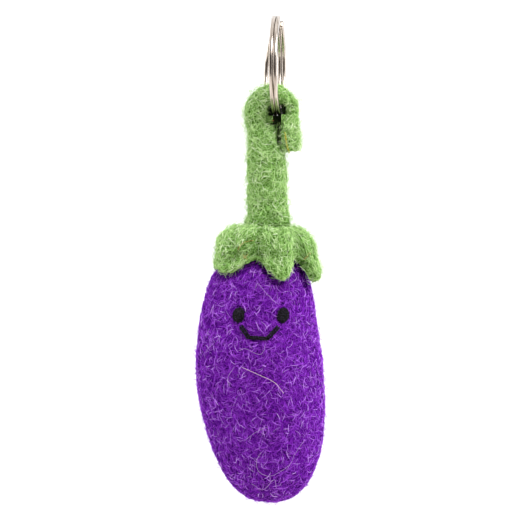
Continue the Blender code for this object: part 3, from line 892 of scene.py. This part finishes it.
def calyx_rows():
    """The outer skin, the rim and the inner skin that lies over the body, as rings of points."""
    v = np.linspace(0.0, 1.0, CALYX_SIDES, endpoint=False)[None, :]
    outer_u = np.concatenate([
        np.linspace(0.01, OUTER_SHARE, CALYX_OUTER_ROWS),
        np.linspace(OUTER_SHARE, 1.0, CALYX_RIM_ROWS + 1)[1:],
    ])[:, None]
    outer, _, _, _ = felt_skin(calyx_skin, CALYX_RELIEF, CALYX_DENTS, outer_u + 0.0 * v, v + 0.0 * outer_u)
    angle = 2.0 * math.pi * v[0]
    edge_height, rim_thickness = calyx_edge(angle)
    last_latitude = latitude_of(edge_height + 0.5 * rim_thickness)
    reach = np.linspace(1.0, 0.02, CALYX_INNER_ROWS + 1)[1:, None]
    inner_point, inner_normal, _ = body_frame(last_latitude * reach, angle[None, :] + 0.0 * reach)
    inner = inner_point + inner_normal * (CALYX_GAP + calyx_curl(angle) * reach**3)[..., None]
    return np.concatenate([outer, inner])


calyx_mesh = make_mesh("felt_calyx", *closed_tube(calyx_rows()))
felt_calyx = make_piece("felt_calyx", calyx_mesh, green_base, "charm")
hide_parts("calyx")



def cap_angle(points):
    """The angle round the body at which places lie, 0 at the front."""
    return np.arctan2(points[:, 0] - body_axis(points[:, 2]), -points[:, 1] / BODY_FLATNESS)


def cap_painted_shade(points):
    """Painted shade on the cap's fibres: darker in its folds, round the stem's foot and at its edge, where shade
    falls.
    """
    angle = cap_angle(points)
    edge_height, _ = calyx_edge(angle)
    fold = calyx_folds(angle) * eased((-52.5 * MM - points[:, 2]) / (3.0 * MM))
    from_foot = np.hypot(points[:, 0] - FOOT_PLACE, 1.05 * points[:, 1])
    crease = np.exp(-(((from_foot - FOOT_RADIUS - 0.3 * MM) / (0.5 * MM)) ** 2))
    edge = np.exp(-(((points[:, 2] - edge_height) / (0.8 * MM)) ** 2))
    return 1.0 - np.clip(0.35 * fold + 0.7 * crease + 0.45 * edge, 0.0, 0.85)


add_fibres("calyx_fibres", green_fibre, matted_layers(
    calyx_skin, CALYX_RELIEF, CALYX_DENTS, (2600, 2600, 2200), 31, (0.15, 0.95),
), 0.085, 132, None, cap_painted_shade)
add_fibres("calyx_fuzz", green_fibre, [
    fibre_rows(
        calyx_skin, CALYX_RELIEF, CALYX_DENTS, 4500, 34, (1.0, 3.6), 0.4, (0.3, 1.8), (0.3, 1.0), (0.2, 0.93), True,
    ),
], 0.034, 35)


# Felt body: a solid lump of purple wool, rolled and needled into an eggplant's shape. Its surface is
# a mat of curly fibres with small pits between them, and a thin fuzz stands off it all round.
BODY_SIDES = 320
BODY_ROWS = 260
BODY_RELIEF = (0.10 * MM, 0.12 * MM, 0.09 * MM)
BODY_FIBRES = (7600, 7600, 6600)
BODY_FIBRE_RADII = (0.085, 0.080, 0.072)
EYE_PLACES = ((-9.65, -72.75), (1.32, -72.8))
EYE_HALF_WIDTH = 1.45
EYE_HALF_HEIGHT = 1.85
SMILE_CORNERS = ((-9.1, -75.55), (-7.15, -78.3), (-2.6, -78.6), (0.15, -75.65))
CROSSING_SHARE = 0.05


def body_skin(u, v):
    """The body's skin: u from its top to its bottom, v once round it from the front."""
    return body_point(math.pi * np.clip(u, 0.0, 1.0), 2.0 * math.pi * v)


def smile_distance(x, z):
    """Distance in millimetres from the mouth's three straight stitches, seen from the front."""
    nearest = np.full(x.shape, 1.0e3)
    for start, end in zip(SMILE_CORNERS[:-1], SMILE_CORNERS[1:]):
        run = np.subtract(end, start)
        share = ((x - start[0]) * run[0] + (z - start[1]) * run[1]) / np.dot(run, run)
        held = np.clip(share, 0.0, 1.0)
        away = np.hypot(x - start[0] - held * run[0], z - start[1] - held * run[1])
        nearest = np.minimum(nearest, away)
    return nearest


def clear_of_face(points):
    """Which fibres keep off the eyes and the mouth, but for a few that cross them."""
    x, z = points[..., 0] / MM, points[..., 2] / MM
    front = points[..., 1] < 0.0
    covering = smile_distance(x, z) < 0.45
    for eye_x, eye_z in EYE_PLACES:
        covering |= np.hypot((x - eye_x) / EYE_HALF_WIDTH, (z - eye_z) / EYE_HALF_HEIGHT) < 0.95
    crossing = np.random.default_rng(71).random(len(points)) < CROSSING_SHARE
    return crossing | ~(covering & front).any(axis=1)


# The first colour, for the pits, is painted shade.
purple_base = wool_base_material(
    "purple_wool", (0.02, 0.001, 0.06), (0.10, 0.008, 0.25), (0.24, 0.035, 0.48),
)
purple_fibre = wool_fibre_material("purple_wool_fibres", (
    (0.0, (0.015, 0.001, 0.05)),
    (0.2, (0.085, 0.004, 0.24)),
    (0.5, (0.20, 0.013, 0.46)),
    (0.8, (0.40, 0.08, 0.74)),
    (1.0, (0.72, 0.40, 0.95)),
))
body_rows = felt_rows(body_skin, BODY_RELIEF, (), BODY_ROWS, BODY_SIDES)
body_mesh = make_mesh("felt_body", *closed_tube(body_rows[1:-1]))
felt_body = make_piece("felt_body", body_mesh, purple_base, "charm")
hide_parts("eggplant_body")



def body_painted_shade(points):
    """Painted shade on the body's fibres: dark close under the cap's edge, where the cap shades them."""
    edge_height, _ = calyx_edge(cap_angle(points))
    return 1.0 - 0.8 * eased((points[:, 2] - edge_height + 1.3 * MM) / (1.3 * MM))


body_layers = matted_layers(body_skin, BODY_RELIEF, (), BODY_FIBRES, 41, (0.12, 0.995))
for number, (layer, radius) in enumerate(zip(body_layers, BODY_FIBRE_RADII)):
    name = f"body_fibres_{number + 1}"
    add_fibres(name, purple_fibre, [layer], radius, 51 + number, clear_of_face, body_painted_shade)
add_fibres("body_fuzz", purple_fibre, [
    fibre_rows(body_skin, BODY_RELIEF, (), 5200, 61, (1.2, 3.6), 0.4, (0.3, 1.6), (0.4, 1.0), (0.14, 0.995), True),
], 0.034, 62, clear_of_face)


# Stitched face: each eye is a satin stitch, black threads laid side by side from its top edge to
# its lower edge, and the mouth is three straight stitches of the same thread, laid double.
EYE_STITCHES = 9
EYE_TILT = math.radians(14.0)
EYE_HEIGHT = 0.55 * MM
EYE_THREAD_RADIUS = 0.24
SMILE_THREADS = ((0.31, 0.31), (0.24, 0.28), (0.29, 0.32))
SMILE_HEIGHT = 0.4 * MM
PLY_SIDES = 8
PLY_PITCH = 1.3 * MM


def front_frame(x, height):
    """The surface point and normal of the body's front at this x and height."""
    share = (x - body_axis(height)) / body_radius(height)
    point, normal, _ = body_frame(latitude_of(height), np.arcsin(np.clip(share, -1.0, 1.0)))
    return point, normal


def twisted_thread(path, normal, radius, start_turn, plies=2):
    """Plies wound round a path: helices whose own tubes just meet in its middle, one shell for each."""
    ahead = unit(np.gradient(path, axis=0))
    side = unit(np.cross(ahead, normal))
    upward = np.cross(side, ahead)
    run = np.insert(np.cumsum(np.linalg.norm(np.diff(path, axis=0), axis=1)), 0, 0.0)
    angle = 2.0 * math.pi * np.arange(PLY_SIDES) / PLY_SIDES
    section = np.cos(angle)[None, :, None] * side[:, None] + np.sin(angle)[None, :, None] * upward[:, None]
    ply_radius = 0.56 * radius
    shells = []
    for ply in range(plies):
        turn = start_turn + 2.0 * math.pi * (run / PLY_PITCH + ply / plies)
        from_middle = np.cos(turn)[:, None] * side + np.sin(turn)[:, None] * upward
        centre = path + (radius - ply_radius) * from_middle
        shells.append(closed_tube(centre[:, None] + ply_radius * section))
    return shells


def eye_shells(x, z, seed):
    """A satin stitch over an oval: tilted threads side by side, each arched and sunk at its ends."""
    rng = np.random.default_rng(seed)
    along = np.linspace(-1.0, 1.0, 18)
    shells = []
    for place in np.linspace(-0.86, 0.86, EYE_STITCHES):
        reach = EYE_HALF_HEIGHT * math.sqrt(1.0 - place**2) * rng.uniform(0.92, 1.06)
        across = EYE_HALF_WIDTH * place
        line_x = across * math.cos(EYE_TILT) + along * reach * math.sin(EYE_TILT) * 0.6
        line_z = along * reach - across * math.sin(EYE_TILT) * 0.6
        point, normal = front_frame((x + line_x) * MM, (z + line_z) * MM)
        arch = EYE_HEIGHT * rng.uniform(0.75, 1.0) * (1.0 - along**6) * math.sqrt(1.0 - 0.6 * place**2)
        path = point + normal * (arch - 0.15 * MM)[:, None]
        shells += twisted_thread(path, normal, EYE_THREAD_RADIUS * MM, rng.uniform(0.0, 6.0))
    return shells


def smile_shells():
    """Three straight stitches, each of threads laid side by side and sunk into the felt at both ends."""
    rng = np.random.default_rng(83)
    along = np.linspace(0.0, 1.0, 26)
    shells = []
    corners = np.array(SMILE_CORNERS)
    for (apart, radius), start, end in zip(SMILE_THREADS, corners[:-1], corners[1:]):
        run = unit(end - start)
        beside = np.array([-run[1], run[0]])
        for side in (-1.0, 1.0):
            line = start + along[:, None] * (end - start) + side * apart * beside
            point, normal = front_frame(line[:, 0] * MM, line[:, 1] * MM)
            arch = SMILE_HEIGHT * (1.0 - (2.0 * along - 1.0) ** 8)
            path = point + normal * (arch - 0.2 * MM)[:, None]
            shells += twisted_thread(path, normal, radius * MM, rng.uniform(0.0, 6.0))
    return shells


def thread_material(name, dark, light, shine):
    """Twisted cotton thread with a soft shine along it, mottled by fine noise between a dark and a light colour. On
    the black thread the light mottles are painted glints.
    """
    material, tree, shader = new_material(name)
    place = add_node(tree, "ShaderNodeTexCoord")
    strands = add_node(tree, "ShaderNodeTexNoise", Scale=2600.0, Detail=2.0)
    tree.links.new(place.outputs["Object"], strands.inputs["Vector"])
    tones = ramp(tree, ((0.42, dark), (0.72, light)), strands.outputs["Fac"])
    tree.links.new(tones.outputs["Color"], shader.inputs["Base Color"])
    bump = add_node(tree, "ShaderNodeBump", Strength=0.4, Distance=0.00005)
    tree.links.new(strands.outputs["Fac"], bump.inputs["Height"])
    tree.links.new(bump.outputs["Normal"], shader.inputs["Normal"])
    shader.inputs["Roughness"].default_value = 0.5
    shader.inputs["Specular IOR Level"].default_value = shine
    return material


# Its light colour stands for glints: painted highlight on the black thread.
black_thread = thread_material("black_cotton", (0.0008, 0.0008, 0.0008), (0.026, 0.022, 0.034), 0.08)
for name, node, (x, z), seed in zip(
    ("eye_stitches_left", "eye_stitches_right"), ("eye_left", "eye_right"), EYE_PLACES, (81, 82),
):
    eye_mesh = make_mesh(name, *join_shells(eye_shells(x, z, seed)))
    eye = make_piece(name, eye_mesh, black_thread, "charm")
    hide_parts(node)
smile_mesh = make_mesh("smile_stitches", *join_shells(smile_shells()))
smile = make_piece("smile_stitches", smile_mesh, black_thread, "charm")
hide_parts("smile")


# Sewing thread: one olive thread over the cord's cut end, tied down at its lower side.
STITCH_POINTS = (
    (1.85, -3.45, -27.3),
    (1.95, -3.75, -28.0),
    (2.10, -3.80, -29.2),
    (2.30, -3.75, -30.4),
    (2.65, -3.35, -31.5),
    (2.95, -2.75, -32.4),
)
STITCH_RADIUS = 0.24 * MM
STITCH_LIFT = (0.0, -0.22 * MM, 0.0)

olive_thread = thread_material("olive_cotton", (0.30, 0.26, 0.01), (0.75, 0.68, 0.08), 0.3)
stitch_path = MM * through(STITCH_POINTS, 12) + STITCH_LIFT
stitch_normal = np.tile([0.35, -1.0, 0.0], (len(stitch_path), 1))
stitch_shells = twisted_thread(stitch_path, stitch_normal, STITCH_RADIUS, 0.0)
stitch_mesh = make_mesh("olive_stitch", *join_shells(stitch_shells))
olive_stitch = make_piece("olive_stitch", stitch_mesh, olive_thread, "charm")
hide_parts("loop_stitch")


# Stray hairs: single guard hairs that take little dye, one long pale one and several lilac ones
# among the purple wool, and a few brown and golden ones on the green cap.
PALE_HAIRS = (
    ((-8.9, -85.6), (-4.0, -87.8), (-0.9, -89.4), (1.4, -92.1)),
)
LILAC_HAIRS = (
    ((-4.0, -106.6), (-5.1, -108.6), (-4.9, -110.9), (-3.7, -112.1), (-1.7, -112.5), (1.1, -111.1),
     (3.1, -109.4), (4.1, -107.1), (6.5, -103.6)),
    ((-2.7, -100.4), (-5.3, -101.6), (-8.1, -103.8)),
    ((-10.6, -85.6), (-12.1, -88.1), (-11.8, -90.0)),
    ((-9.4, -81.6), (-7.9, -81.1), (-4.7, -82.5), (-3.5, -81.6), (-3.1, -79.9)),
    ((-5.5, -66.3), (-4.9, -65.1), (-2.7, -67.6), (-0.4, -69.9)),
    ((-6.4, -114.4), (-4.6, -115.6), (-3.2, -115.8), (-0.9, -113.4), (-0.4, -115.5)),
)
CAP_HAIRS = (
    ((-8.6, -57.7), (-8.1, -58.6), (-7.6, -59.0)),
    ((-8.4, -58.9), (-7.9, -58.2), (-7.5, -57.6)),
    ((-9.9, -56.6), (-8.9, -55.2), (-7.6, -54.5), (-6.1, -54.3)),
    ((6.6, -59.1), (7.4, -58.2), (8.0, -57.6)),
)
HAIR_LIFT = 0.42 * MM
HAIR_SIDES = 5


def front_of_cap(x, height):
    """The cap's front skin and its normal nearest to places in x and height, from a fine grid."""
    u, v = np.meshgrid(np.linspace(0.2, 0.9, 220), np.linspace(-0.25, 0.25, 260))
    point, normal, _, _ = skin(calyx_skin, u.ravel(), v.ravel())
    apart = np.hypot(point[:, 0] - x[:, None], point[:, 2] - height[:, None])
    nearest = np.argmin(apart, axis=1)
    return point[nearest], normal[nearest]


def hair_shell(places, find, radius):
    """A fine tube through (x, z) places in millimetres, just off the felt's front."""
    line = MM * through(places, 10)
    point, normal = find(line[:, 0], line[:, 1])
    path = point + normal * (HAIR_LIFT + 0.06 * MM * np.sin(np.arange(len(line)) * 0.9))[:, None]
    ahead = unit(np.gradient(path, axis=0))
    side = unit(np.cross(ahead, normal))
    upward = np.cross(side, ahead)
    angle = 2.0 * math.pi * np.arange(HAIR_SIDES) / HAIR_SIDES
    section = np.cos(angle)[None, :, None] * side[:, None] + np.sin(angle)[None, :, None] * upward[:, None]
    return closed_tube(path[:, None] + radius * section)


for name, hairs, find, radius, colour, slot in (
    ("pale_hair", PALE_HAIRS, front_frame, 0.045 * MM, (0.80, 0.55, 0.60), "purple_felt"),
    ("lilac_hairs", LILAC_HAIRS, front_frame, 0.032 * MM, (0.55, 0.32, 0.62), "purple_felt"),
    ("cap_hairs", CAP_HAIRS, front_of_cap, 0.045 * MM, (0.50, 0.24, 0.06), "green_felt"),
):
    hair_material, _, hair_shader = new_material(name)
    hair_shader.inputs["Base Color"].default_value = (*colour, 1.0)
    hair_shader.inputs["Roughness"].default_value = 0.4
    hair_mesh = make_mesh(name, *join_shells([hair_shell(places, find, radius) for places in hairs]))
    make_piece(name, hair_mesh, hair_material, "charm")


# Camera at the height of the charm's middle, straight in front, as the photograph looks at it.
CAMERA_DISTANCE = 1.3
VIEW_HEIGHT = 130.0 * MM
VIEW_CENTRE = (-4.375 * MM, -59.125 * MM)
SENSOR = 36.0

camera_data = bpy.data.cameras.new("camera")
camera_data.sensor_fit = "HORIZONTAL"
camera_data.sensor_width = SENSOR
camera_data.lens = SENSOR * CAMERA_DISTANCE / VIEW_HEIGHT
camera = bpy.data.objects.new("camera", camera_data)
camera.location = (VIEW_CENTRE[0], -CAMERA_DISTANCE, VIEW_CENTRE[1])
camera.rotation_euler = (0.5 * math.pi, 0.0, 0.0)
bpy.context.scene.collection.objects.link(camera)
bpy.context.scene.camera = camera


# Studio: a wide pale floor well below the hanging charm, a soft lamp above its front right, an even
# white room all round, and a black card in front that the polished ring reflects as dark streaks.
FLOOR_HEIGHT = -0.62
FLOOR_HALF_WIDTH = 4.0
CARD_PLACE = (0.0, -1.0, -0.01)
CARD_HALF_SIZE = (0.5, 0.47)


def stage_sheet(name, corners, colour, roughness):
    """One flat sheet of the studio through four corners, with its own plain finish."""
    material, _, shader = new_material(name)
    shader.inputs["Base Color"].default_value = (*colour, 1.0)
    shader.inputs["Roughness"].default_value = roughness
    mesh = make_mesh(name, np.array(corners), [(0, 1, 2, 3)])
    mesh.materials.append(material)
    sheet = bpy.data.objects.new(name, mesh)
    bpy.context.scene.collection.objects.link(sheet)
    return sheet


stage_sheet("studio_floor", [
    (side_x * FLOOR_HALF_WIDTH, side_y * FLOOR_HALF_WIDTH, FLOOR_HEIGHT)
    for side_x, side_y in ((-1, -1), (1, -1), (1, 1), (-1, 1))
], (0.86, 0.83, 0.80), 0.9)
card = stage_sheet("black_card", [
    (CARD_PLACE[0] + side_x * CARD_HALF_SIZE[0], CARD_PLACE[1], CARD_PLACE[2] + side_z * CARD_HALF_SIZE[1])
    for side_x, side_z in ((1, -1), (-1, -1), (-1, 1), (1, 1))
], (0.02, 0.017, 0.015), 0.9)
card.visible_camera = False

world = bpy.data.worlds.new("studio")
bpy.context.scene.world = world
world.use_nodes = True
background = world.node_tree.nodes["Background"]
direction = add_node(world.node_tree, "ShaderNodeTexCoord")
split = add_node(world.node_tree, "ShaderNodeSeparateXYZ")
world.node_tree.links.new(direction.outputs["Generated"], split.inputs["Vector"])
from_front = add_node(world.node_tree, "ShaderNodeMapRange", From_Min=-1.0, From_Max=1.0)
world.node_tree.links.new(split.outputs["Y"], from_front.inputs["Value"])
room = ramp(world.node_tree, (
    (0.0, (0.72, 0.71, 0.70)),
    (0.3, (0.95, 0.94, 0.93)),
    (0.5, (1.55, 1.55, 1.55)),
    (0.8, (1.45, 1.45, 1.45)),
    (1.0, (1.25, 1.25, 1.25)),
), from_front.outputs["Result"])
world.node_tree.links.new(room.outputs["Color"], background.inputs["Color"])
background.inputs["Strength"].default_value = 1.0

for name, energy, size, place, tilt, turn in (
    ("key", 15.0, (0.8, 0.6), (0.45, -0.7, 0.75), 45.0, 33.0),
    ("right side", 4.0, (0.5, 0.8), (0.9, 0.15, 0.05), 86.0, 99.0),
    ("left side", 4.5, (0.5, 0.8), (-0.9, 0.05, 0.05), 86.0, -93.0),
):
    lamp_data = bpy.data.lights.new(name, "AREA")
    lamp_data.shape = "RECTANGLE"
    lamp_data.size, lamp_data.size_y = size
    lamp_data.energy = energy
    lamp = bpy.data.objects.new(name, lamp_data)
    lamp.location = place
    lamp.rotation_euler = (math.radians(tilt), 0.0, math.radians(turn))
    bpy.context.scene.collection.objects.link(lamp)

bpy.context.scene.view_settings.view_transform = "Standard"
